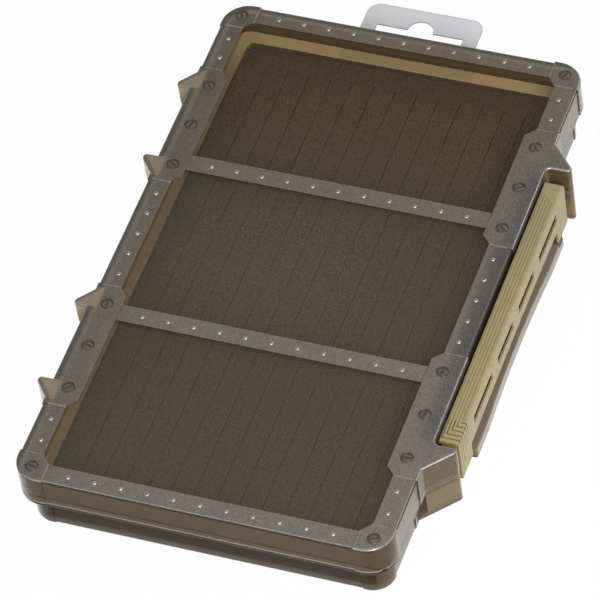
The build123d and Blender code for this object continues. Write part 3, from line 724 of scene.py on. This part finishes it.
        # Painted highlights round the frame on the latch side and at the near end, dimmer beside
        # the latch.
        rounded = zone_of(
            tree, above(at.z, self.edge_z), *between(at.level, self.steep, self.flat, unit=1.0)
        )
        latch_side = below(at.y, -self.outer_y)
        outside = joined(tree, [latch_side], [below(at.x, -self.outer_x)])
        plastic.lay(self.lip, rounded, outside)
        plastic.lay(self.latch_lip, rounded, latch_side, below(at.along, self.gap_x))
        # Painted highlights at the ends of the raised plates.
        beyond_windows = between(at.across, self.plate_from_y, self.edge_y)
        steps = (
            (*between(from_plate, self.plate_half, self.plate_end), *beyond_windows),
            (*between(at.along, *self.corner_plate_x), *beyond_windows),
            (*between(at.across, *self.corner_plate_y), above(at.along, self.window_half_x)),
        )
        for step in steps:
            plastic.lay(self.lip, above(at.z, self.frost_z), *step)
        # Painted highlights along the open edge, all round and under the latch ears.
        open_edge = below(at.z, self.low_edge_z)
        low = joined(
            tree,
            [above(at.along, self.outer_x), open_edge],
            [above(at.across, self.outer_y), open_edge],
            [below(at.y, -self.ear_from_y), below(at.z, self.ear_edge_z)],
        )
        plastic.lay(self.low_lip, low)


@dataclass(frozen=True)
class TanPlastic:
    """Tan polypropylene, injection moulded with a fine matt grain.

    It is nearly opaque and a little waxy, with a soft sheen and slight clouding.
    Sizes in millimetres.
    """

    name: str = "tan_polypropylene_moulded"
    colour: str = "#a3936f"
    shadow: str = "#968662"
    groove: str = "#988962"
    end_groove: str = "#6b5a35"
    deep: str = "#41351f"
    worn_edge: str = "#8f784a"
    top_z: float = 22.9
    face_y: float = -69.1
    groove_depth: float = 0.15
    opening_depth: float = 0.6
    end_x: float = -45.5
    worn_x: float = -54.15
    cloud: float = 9.0
    grain: float = 0.5
    grain_depth: float = 0.05
    roughness: Span = (0.34, 0.5)
    ior: float = 1.49

    def material(self) -> Material:
        """Returns the node material."""
        material, tree = new_material(self.name)
        at = Measures(tree)
        cloud = add_node(tree, "TexNoise", pattern(at.point, self.cloud, Detail=4.0))
        # Painted shade darkens the grooves, most of all near one end, and the hollow behind the
        # openings.
        shaded_grooves = self.sunk(tree, at, self.groove_depth)
        colour = layered(
            tree,
            self.shadow,
            (cloud, self.colour),
            (shaded_grooves, self.groove),
            (zone_of(tree, shaded_grooves, below(at.x, self.end_x)), self.end_groove),
            (self.sunk(tree, at, self.opening_depth), self.deep),
            # Painted light: the rounded near end is coloured golden where light catches its edge.
            (below(at.x, self.worn_x), self.worn_edge),
        )
        # The matt grain is about 0.1 mm, drawn at 0.5 mm so that it shows.
        grain = add_node(tree, "TexNoise", pattern(at.point, self.grain, Detail=2.0))
        rough = add_node(tree, "MapRange", onto(grain, self.roughness))
        height = {"Height": grain, "Strength": 0.25, "Distance": self.grain_depth * MM}
        bump = add_node(tree, "Bump", height)
        skin = {"Base Color": colour, "Roughness": rough, "IOR": self.ior, "Normal": bump}
        return finished(material, add_node(tree, "BsdfPrincipled", skin))

    def sunk(self, tree: Tree, at: Measures, depth: float) -> Value:
        """Marks what lies deeper than a depth below both the top and the face."""
        return zone_of(tree, below(at.z, self.top_z - depth), above(at.y, self.face_y + depth))


@dataclass(frozen=True)
class ClosedCellFoam:
    """Brown-grey closed-cell polyethylene foam, skived flat from a block.

    The cut cells make a fine matt speckle with no gloss, and the block is a little redder
    in some places than in others. Sizes in millimetres.
    """

    name: str = "closed_cell_foam_skived"
    light: str = "#7d6f52"
    red: str = "#7f6a51"
    dark: str = "#38332a"
    cell: float = 0.35
    cell_share: float = 0.3
    grain: float = 0.5
    tones: Span = (0.45, 0.82)
    patch: float = 14.0
    depth: float = 0.15
    roughness: float = 0.92
    specular: float = 0.2

    def material(self) -> Material:
        """Returns the node material."""
        material, tree = new_material(self.name)
        place = add_node(tree, "TexCoord").outputs["Object"]
        # Cells of 0.2 mm, drawn at 0.35 mm so that they show.
        cells = add_node(tree, "TexVoronoi", pattern(place, self.cell))
        grain = add_node(tree, "TexNoise", pattern(place, self.grain, Detail=4.0, Roughness=0.7))
        both = {0: cells.outputs["Distance"], 1: self.cell_share, 2: grain}
        mixed = add_node(tree, "Math", both, operation="MULTIPLY_ADD")
        lightest, darkest = self.tones
        tone = add_node(
            tree, "MapRange", {"Value": mixed, "From Min": lightest, "From Max": darkest}
        )
        patches = add_node(tree, "TexNoise", pattern(place, self.patch))
        colour = layered(tree, self.light, (patches, self.red), (tone, self.dark))
        height = {"Height": mixed, "Strength": 0.5, "Distance": self.depth * MM}
        bump = add_node(tree, "Bump", height)
        skin = {
            "Base Color": colour,
            "Roughness": self.roughness,
            "Specular IOR Level": self.specular,
            "Normal": bump,
        }
        return finished(material, add_node(tree, "BsdfPrincipled", skin))


@dataclass(frozen=True)
class ClearSheet:
    """Clear PET sheet, die cut.

    The faces are almost invisible, and the cut edges gather light and look grey, which is
    painted on them. The foot is clamped between lid and base, so its faces are wetted and
    vanish. Sizes in millimetres.
    """

    name: str = "pet_sheet_die_cut"
    face: str = "#f3f4f8"
    edge: str = "#a4a6ac"
    passing: str = "#fbfbfc"
    opacity: float = 0.45
    edge_opacity: float = 0.85
    foot_opacity: float = 0.02
    foot_to_x: float = 101.0
    flat: float = 0.7
    haze: float = 12.0
    roughness: Span = (0.08, 0.22)
    ior: float = 1.57

    def material(self) -> Material:
        """Returns the node material."""
        material, tree = new_material(self.name)
        at = Measures(tree)
        cut_edge = below(at.level, self.flat, unit=1.0)
        haze = add_node(tree, "TexNoise", pattern(at.point, self.haze, Detail=2.0))
        rough = add_node(tree, "MapRange", onto(haze, self.roughness))
        colour = layered(tree, self.face, (cut_edge, self.edge))
        opacities = (
            (cut_edge, self.edge_opacity), (below(at.x, self.foot_to_x), self.foot_opacity)
        )
        share = layered(tree, self.opacity, *opacities)
        look = {"Base Color": colour, "Roughness": rough, "IOR": self.ior}
        skin = add_node(tree, "BsdfPrincipled", look)
        clear = add_node(tree, "BsdfTransparent", {"Color": linear(self.passing)})
        return finished(material, add_node(tree, "MixShader", {0: share, 1: clear, 2: skin}))


@dataclass(frozen=True)
class AcrylicAdhesive:
    """A thin rolled film of clear acrylic adhesive, with small trapped bubbles.

    The bubbles are paler spots in it. Sizes in millimetres.
    """

    name: str = "acrylic_adhesive_rolled"
    colour: str = "#d9d4c6"
    bubble: str = "#f0ede4"
    bubble_pitch: float = 2.5
    bubble_edge: Span = (0.2, 0.3)
    roughness: float = 0.35
    ior: float = 1.47

    def material(self) -> Material:
        """Returns the node material."""
        material, tree = new_material(self.name)
        place = add_node(tree, "TexCoord").outputs["Object"]
        bubbles = add_node(tree, "TexVoronoi", pattern(place, self.bubble_pitch))
        distance = bubbles.outputs["Distance"]
        start, stop = self.bubble_edge
        spots = add_node(tree, "MapRange", {"Value": distance, "From Min": start, "From Max": stop})
        colour = layered(tree, self.bubble, (spots, self.colour))
        skin = {"Base Color": colour, "Roughness": self.roughness, "IOR": self.ior}
        return finished(material, add_node(tree, "BsdfPrincipled", skin))


@dataclass(frozen=True)
class DrawnSteel:
    """Bright stainless steel wire, drawn and cut, with fine lengthwise die marks.

    The marks run along X and are drawn out by the stretch. Sizes in millimetres.
    """

    name: str = "stainless_steel_drawn"
    colour: str = "#c9c8c5"
    mark: float = 0.1
    stretch: float = 0.02
    roughness: Span = (0.2, 0.38)

    def material(self) -> Material:
        """Returns the node material."""
        material, tree = new_material(self.name)
        place = add_node(tree, "TexCoord").outputs["Object"]
        drawn = add_node(tree, "Mapping", {"Vector": place, "Scale": (self.stretch, 1.0, 1.0)})
        marks = add_node(tree, "TexNoise", pattern(drawn, self.mark, Detail=1.0))
        rough = add_node(tree, "MapRange", onto(marks, self.roughness))
        skin = {"Base Color": linear(self.colour), "Metallic": 1.0, "Roughness": rough}
        return finished(material, add_node(tree, "BsdfPrincipled", skin))


# --- Modelling helpers ---


def deselect_all() -> None:
    """Leaves object mode with nothing selected."""
    if bpy.context.object and bpy.context.object.mode != "OBJECT":
        bpy.ops.object.mode_set(mode="OBJECT")
    bpy.ops.object.select_all(action="DESELECT")


def start_box(name: str, low: Place, high: Place) -> Piece:
    """Adds a box between two corners and opens it in edit mode.

    Args:
        name: the piece's name.
        low: lowest corner, in millimetres.
        high: highest corner, in millimetres.

    Returns:
        The new object, with its place in its mesh.
    """
    deselect_all()
    middle = [(a + b) / 2 * MM for a, b in zip(low, high)]
    size = [(b - a) * MM for a, b in zip(low, high)]
    bpy.ops.mesh.primitive_cube_add(size=1.0, location=middle, scale=size)
    bpy.ops.object.transform_apply()
    piece = bpy.context.object
    piece.name = piece.data.name = name
    bpy.ops.object.mode_set(mode="EDIT")
    return piece


def pick(piece: Piece, kind: MeshPart, test: Callable[[Any, Mesh], bool]) -> None:
    """Selects the parts of a mesh that pass a test, while it is in edit mode.

    Args:
        piece: the object in edit mode.
        kind: what is picked.
        test: takes a vertex, edge or polygon and the mesh.
    """
    bpy.ops.mesh.select_mode(type=kind.name)
    bpy.ops.mesh.select_all(action="DESELECT")
    bpy.ops.object.mode_set(mode="OBJECT")
    for part in getattr(piece.data, kind.value):
        part.select = test(part, piece.data)
    bpy.ops.object.mode_set(mode="EDIT")


def heights(edge: Edge, mesh: Mesh) -> Span:
    """Returns the heights of an edge's two ends in millimetres, the lower one first."""
    low, high = sorted(mesh.vertices[i].co.z / MM for i in edge.vertices)
    return low, high


def cut(axis: Axis, at: float) -> None:
    """Bisects everything in the open mesh across one axis.

    Args:
        axis: the direction that the cut faces.
        at: place of the cut in millimetres.
    """
    normal = Vector(axis.value)
    bpy.ops.mesh.select_all(action="SELECT")
    bpy.ops.mesh.bisect(plane_co=normal * (at * MM), plane_no=normal)


def smooth(piece: Piece, angle: float) -> None:
    """Shades a finished piece smooth up to an angle in degrees."""
    deselect_all()
    piece.select_set(True)
    bpy.context.view_layer.objects.active = piece
    bpy.ops.object.shade_smooth_by_angle(angle=math.radians(angle))


def dress(names: tuple[str, ...], slot: Slot, material: Material) -> None:
    """Gives a material to the faces of some nodes.

    Args:
        names: the nodes.
        slot: the record's slot that all their faces are in.
        material: its finish.
    """
    for name in names:
        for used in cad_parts[name].material_slots:
            used.material = material
        log.info("dressed %s (%s) with %s", name, slot.value, material.name)


# --- Sub-assemblies ---


@dataclass
class Lid:
    """The hinged lid, moulded in one piece with its rivet and screw heads."""

    body: Body = Body.LID
    plastic: LidPlastic = LidPlastic()

    def build(self) -> None:
        """Dresses the lid."""
        dress(("lid",), Slot.SMOKE_PLASTIC, self.plastic.material())


@dataclass
class BaseTray:
    """The tray that the foam sits in, with the shelf, ears and hinge knuckles."""

    body: Body = Body.BASE
    plastic: BasePlastic = BasePlastic()
    pins: DrawnSteel = DrawnSteel()

    def build(self) -> None:
        """Dresses the tray and the steel pins in it."""
        dress(("base_tray",), Slot.SMOKE_PLASTIC, self.plastic.material())
        pins = ("hinge_pin_near", "hinge_pin_far", "latch_pin_near", "latch_pin_far")
        dress(pins, Slot.PIN_STEEL, self.pins.material())


@dataclass
class Latch:
    """The long pivoting latch on the front."""

    body: Body = Body.LATCH
    plastic: TanPlastic = TanPlastic()

    def build(self) -> None:
        """Dresses the latch."""
        dress(("latch",), Slot.TAN_PLASTIC, self.plastic.material())


@dataclass
class FoamInsert:
    """The slit foam block that holds the flies. Sizes in millimetres."""

    body: Body = Body.BASE
    half_length: float = 95.7
    half_width: float = 54.2
    bottom: float = 2.0
    top: float = 13.9
    corner_r: float = 2.5
    corner_steps: int = 6
    lip_r: float = 0.5
    lip_steps: int = 3
    slits: int = 13
    pitch: float = 7.5
    slit_width: float = 0.3
    slit_depth: float = 8.0
    slit_half_length: float = 87.5
    ripple_pitch: float = 6.0
    ripple: float = 0.11
    ripple_seed: int = 7
    ripple_from_end: float = 1.0
    tolerance: float = 0.01
    upward: float = 0.9
    smooth_angle: float = 40.0
    foam: ClosedCellFoam = ClosedCellFoam()
    adhesive: AcrylicAdhesive = AcrylicAdhesive()

    def build(self) -> None:
        """Builds the foam piece and dresses the adhesive under it."""
        low = (-self.half_length, -self.half_width, self.bottom)
        high = (self.half_length, self.half_width, self.top)
        piece = start_box("foam_slit_block", low, high)
        self.round_corners(piece)
        self.cut_slits(piece)
        self.ruffle_slits(piece)
        smooth(piece, self.smooth_angle)
        piece.data.materials.append(self.foam.material())
        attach(piece, Body.BASE.value)
        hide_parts("foam_insert")
        log.info("built %s with %d faces", piece.name, len(piece.data.polygons))
        dress(("foam_adhesive",), Slot.ADHESIVE, self.adhesive.material())

    def round_corners(self, piece: Piece) -> None:
        """Rounds the upright corners and softens the top edge.

        Args:
            piece: the open block.
        """

        def upright(edge: Edge, mesh: Mesh) -> bool:
            """Tells whether an edge of the block stands upright."""
            low, high = heights(edge, mesh)
            return high - low > self.tolerance

        def top_edge(edge: Edge, mesh: Mesh) -> bool:
            """Tells whether an edge lies on the top."""
            return heights(edge, mesh)[0] > self.top - self.tolerance

        pick(piece, MeshPart.EDGE, upright)
        bpy.ops.mesh.bevel(offset=self.corner_r * MM, segments=self.corner_steps)
        pick(piece, MeshPart.EDGE, top_edge)
        bpy.ops.mesh.bevel(offset=self.lip_r * MM, segments=self.lip_steps)

    def cut_slits(self, piece: Piece) -> None:
        """Cuts the slits down into the block.

        Args:
            piece: the open block.
        """
        places = [(i - (self.slits - 1) / 2) * self.pitch for i in range(self.slits)]
        for at in places:
            cut(Axis.Y, at - self.slit_width / 2)
            cut(Axis.Y, at + self.slit_width / 2)
        for at in (-self.slit_half_length, self.slit_half_length):
            cut(Axis.X, at)

        def slit_face(face: bpy.types.MeshPolygon, mesh: Mesh) -> bool:
            """Tells whether a face is the closed top of a slit."""
            centre = face.center / MM
            near = min(abs(centre.y - at) for at in places)
            inside = abs(centre.x) < self.slit_half_length and near < self.slit_width / 2
            return inside and face.normal.z > self.upward

        pick(piece, MeshPart.FACE, slit_face)
        bpy.ops.mesh.extrude_region_move(
            TRANSFORM_OT_translate={"value": (0.0, 0.0, -self.slit_depth * MM)}
        )

    def ruffle_slits(self, piece: Piece) -> None:
        """Leaves the lips of the slits a little uneven, so that they close here and there.

        Args:
            piece: the open block.
        """
        cuts = int(2 * self.slit_half_length / self.ripple_pitch)
        for i in range(1, cuts):
            cut(Axis.X, -self.slit_half_length + i * self.ripple_pitch)
        reach = self.slit_half_length - self.ripple_from_end

        def lip(vertex: bpy.types.MeshVertex, mesh: Mesh) -> bool:
            """Tells whether a vertex is on the top, between the ends of the slits."""
            place = vertex.co / MM
            return place.z > self.top - self.tolerance and abs(place.x) < reach

        pick(piece, MeshPart.VERT, lip)
        bpy.ops.transform.vertex_random(offset=self.ripple * MM, uniform=1.0, seed=self.ripple_seed)


@dataclass
class HangTab:
    """The clear tab that the box hangs from in a shop."""

    body: Body = Body.BASE
    sheet: ClearSheet = ClearSheet()

    def build(self) -> None:
        """Dresses the tab."""
        dress(("hang_tab",), Slot.CLEAR_SHEET, self.sheet.material())


# --- Studio ---


@dataclass(frozen=True)
class Lamp:
    """One soft lamp that faces the box. Sizes in millimetres, power in watts."""

    name: str
    place: Place
    size: Span
    power: float

    def build(self) -> None:
        """Adds the lamp to the scene."""
        data = bpy.data.lights.new(self.name, "AREA")
        data.shape = "RECTANGLE"
        data.size, data.size_y = (side * MM for side in self.size)
        data.energy = self.power
        lamp = bpy.data.objects.new(self.name, data)
        bpy.context.scene.collection.objects.link(lamp)
        spot = Vector(self.place) * MM
        turned = spot.to_track_quat("Z", "Y").to_matrix().to_4x4()
        lamp.matrix_world = Matrix.Translation(spot) @ turned


@dataclass(frozen=True)
class StudioPaper:
    """Matt paper, white to the camera and to reflections but still shadowed.

    Each painted pool of light gives, along one axis, where the pool of white that reflections
    find starts and where it is full, in millimetres, and the share that is left outside it.
    """

    name: str = "studio_paper_matt"
    paper: str = "#f4f4f4"
    white_share: float = 0.96
    pool_x: Place = (140.0, -20.0, 0.5)
    pool_y: Place = (0.0, -60.0, 0.35)

    def material(self) -> Material:
        """Returns the node material."""
        material, tree = new_material(self.name)
        rays, seen = direct_rays(tree)
        # A painted pool of light: reflections find the paper white beside the latch, darker all
        # round it.
        at = Measures(tree)
        pools = []
        for axis, (start, full, least) in ((at.x, self.pool_x), (at.y, self.pool_y)):
            pool = zone_of(tree, fade(axis, start, full))
            pools.append(add_node(tree, "MapRange", onto(pool, (least, 1.0))))
        shown = joined(tree, [seen], [rays.outputs["Is Glossy Ray"], *pools])
        # Through the smoky plastic, the real floor shows, in the box's own shade.
        bare = zone_of(tree, shown, below(rays.outputs["Transparent Depth"], 0.5, unit=1.0))
        share = add_node(tree, "Math", {0: bare, 1: self.white_share}, operation="MULTIPLY")
        paper = add_node(tree, "BsdfDiffuse", {"Color": linear(self.paper)})
        glow = add_node(tree, "Emission", {"Color": WHITE, "Strength": 1.0})
        return finished(material, add_node(tree, "MixShader", {0: share, 1: paper, 2: glow}))


def direct_rays(tree: Tree) -> tuple[Node, Value]:
    """Marks the looks that come straight from the camera or through glass.

    Args:
        tree: the node tree of the floor or the room.

    Returns:
        The Light Path node, and a zone that is 1 for those looks.
    """
    rays = add_node(tree, "LightPath")
    seen = [rays.outputs["Is Camera Ray"]], [rays.outputs["Is Transmission Ray"]]
    return rays, joined(tree, *seen)


@dataclass
class Studio:
    """Pale floor, white surroundings, soft lamps and the camera. Sizes in millimetres."""

    floor_size: float = 6000.0
    floor_drop: float = 0.1
    paper: StudioPaper = StudioPaper()
    room: float = 0.3
    sweep_height: float = 0.7
    ceiling: float = 0.4
    lamps: tuple[Lamp, ...] = (
        Lamp("key_softbox", (-430.0, -380.0, 520.0), (450.0, 450.0), 5.4),
        Lamp("edge_softbox", (500.0, -560.0, 420.0), (250.0, 150.0), 1.3),
        Lamp("rear_softbox", (-700.0, 260.0, 560.0), (250.0, 250.0), 1.0),
        # A small weak panel leaves a soft haze on the middle window.
        Lamp("haze_panel", (585.0, 300.0, 790.0), (90.0, 50.0), 0.008),
    )
    camera_place: Place = (-973.29, -482.05, 1290.05)
    camera_right: Place = (0.32786262, -0.93868007, -0.10670438)
    camera_up: Place = (0.74666019, 0.18826837, 0.63800751)
    camera_back: Place = (-0.57879588, -0.28885073, 0.7626012)
    camera_reach: float = 20000.0
    lens: float = 315.26
    sensor: float = 36.0

    def build(self) -> None:
        """Sets up the floor, the surroundings, the lamps and the camera."""
        self.floor()
        self.surroundings()
        for lamp in self.lamps:
            lamp.build()
        self.camera()
        bpy.context.scene.view_settings.view_transform = "Standard"

    def floor(self) -> None:
        """Adds the floor."""
        deselect_all()
        bpy.ops.mesh.primitive_plane_add(
            size=self.floor_size * MM, location=(0.0, 0.0, -self.floor_drop * MM)
        )
        bpy.ops.object.transform_apply()
        floor = bpy.context.object
        floor.name = "studio_floor"
        floor.data.materials.append(self.paper.material())

    def surroundings(self) -> None:
        """Makes a soft grey room that looks white to the camera."""
        world = bpy.data.worlds.new("studio_room")
        world.use_nodes = True
        tree = world.node_tree
        tree.nodes.clear()
        rays, seen = direct_rays(tree)
        # Reflections see the white sweep near the floor and a dim ceiling overhead.
        height = add_node(tree, "SeparateXYZ", {0: add_node(tree, "TexCoord").outputs["Generated"]})
        reach = {**onto(height.outputs["Z"], (1.0, self.ceiling)), "From Max": self.sweep_height}
        sweep = add_node(tree, "MapRange", reach)
        shares = (rays.outputs["Is Glossy Ray"], sweep), (seen, 1.0)
        strength = layered(tree, self.room, *shares)
        light = add_node(tree, "Background", {"Color": WHITE, "Strength": strength})
        add_node(tree, "OutputWorld", {"Surface": light})
        bpy.context.scene.world = world

    def camera(self) -> None:
        """Adds the camera and makes it the scene's own."""
        data = bpy.data.cameras.new("studio_camera")
        data.lens = self.lens
        data.sensor_width = self.sensor
        data.clip_end = self.camera_reach * MM
        camera = bpy.data.objects.new("studio_camera", data)
        bpy.context.scene.collection.objects.link(camera)
        axes = Matrix((self.camera_right, self.camera_up, self.camera_back)).transposed()
        camera.matrix_world = Matrix.Translation(Vector(self.camera_place) * MM) @ axes.to_4x4()
        bpy.context.scene.camera = camera


def main() -> None:
    """Builds and dresses every sub-assembly."""
    logging.basicConfig(level=logging.INFO, format="%(name)s: %(message)s")
    log.info("building the studio")
    Studio().build()
    for part in (BaseTray(), FoamInsert(), Lid(), Latch(), HangTab()):
        log.info("building %s on the %s", type(part).__name__, part.body.value)
        part.build()
    deselect_all()


if __name__ == "__main__":
    main()
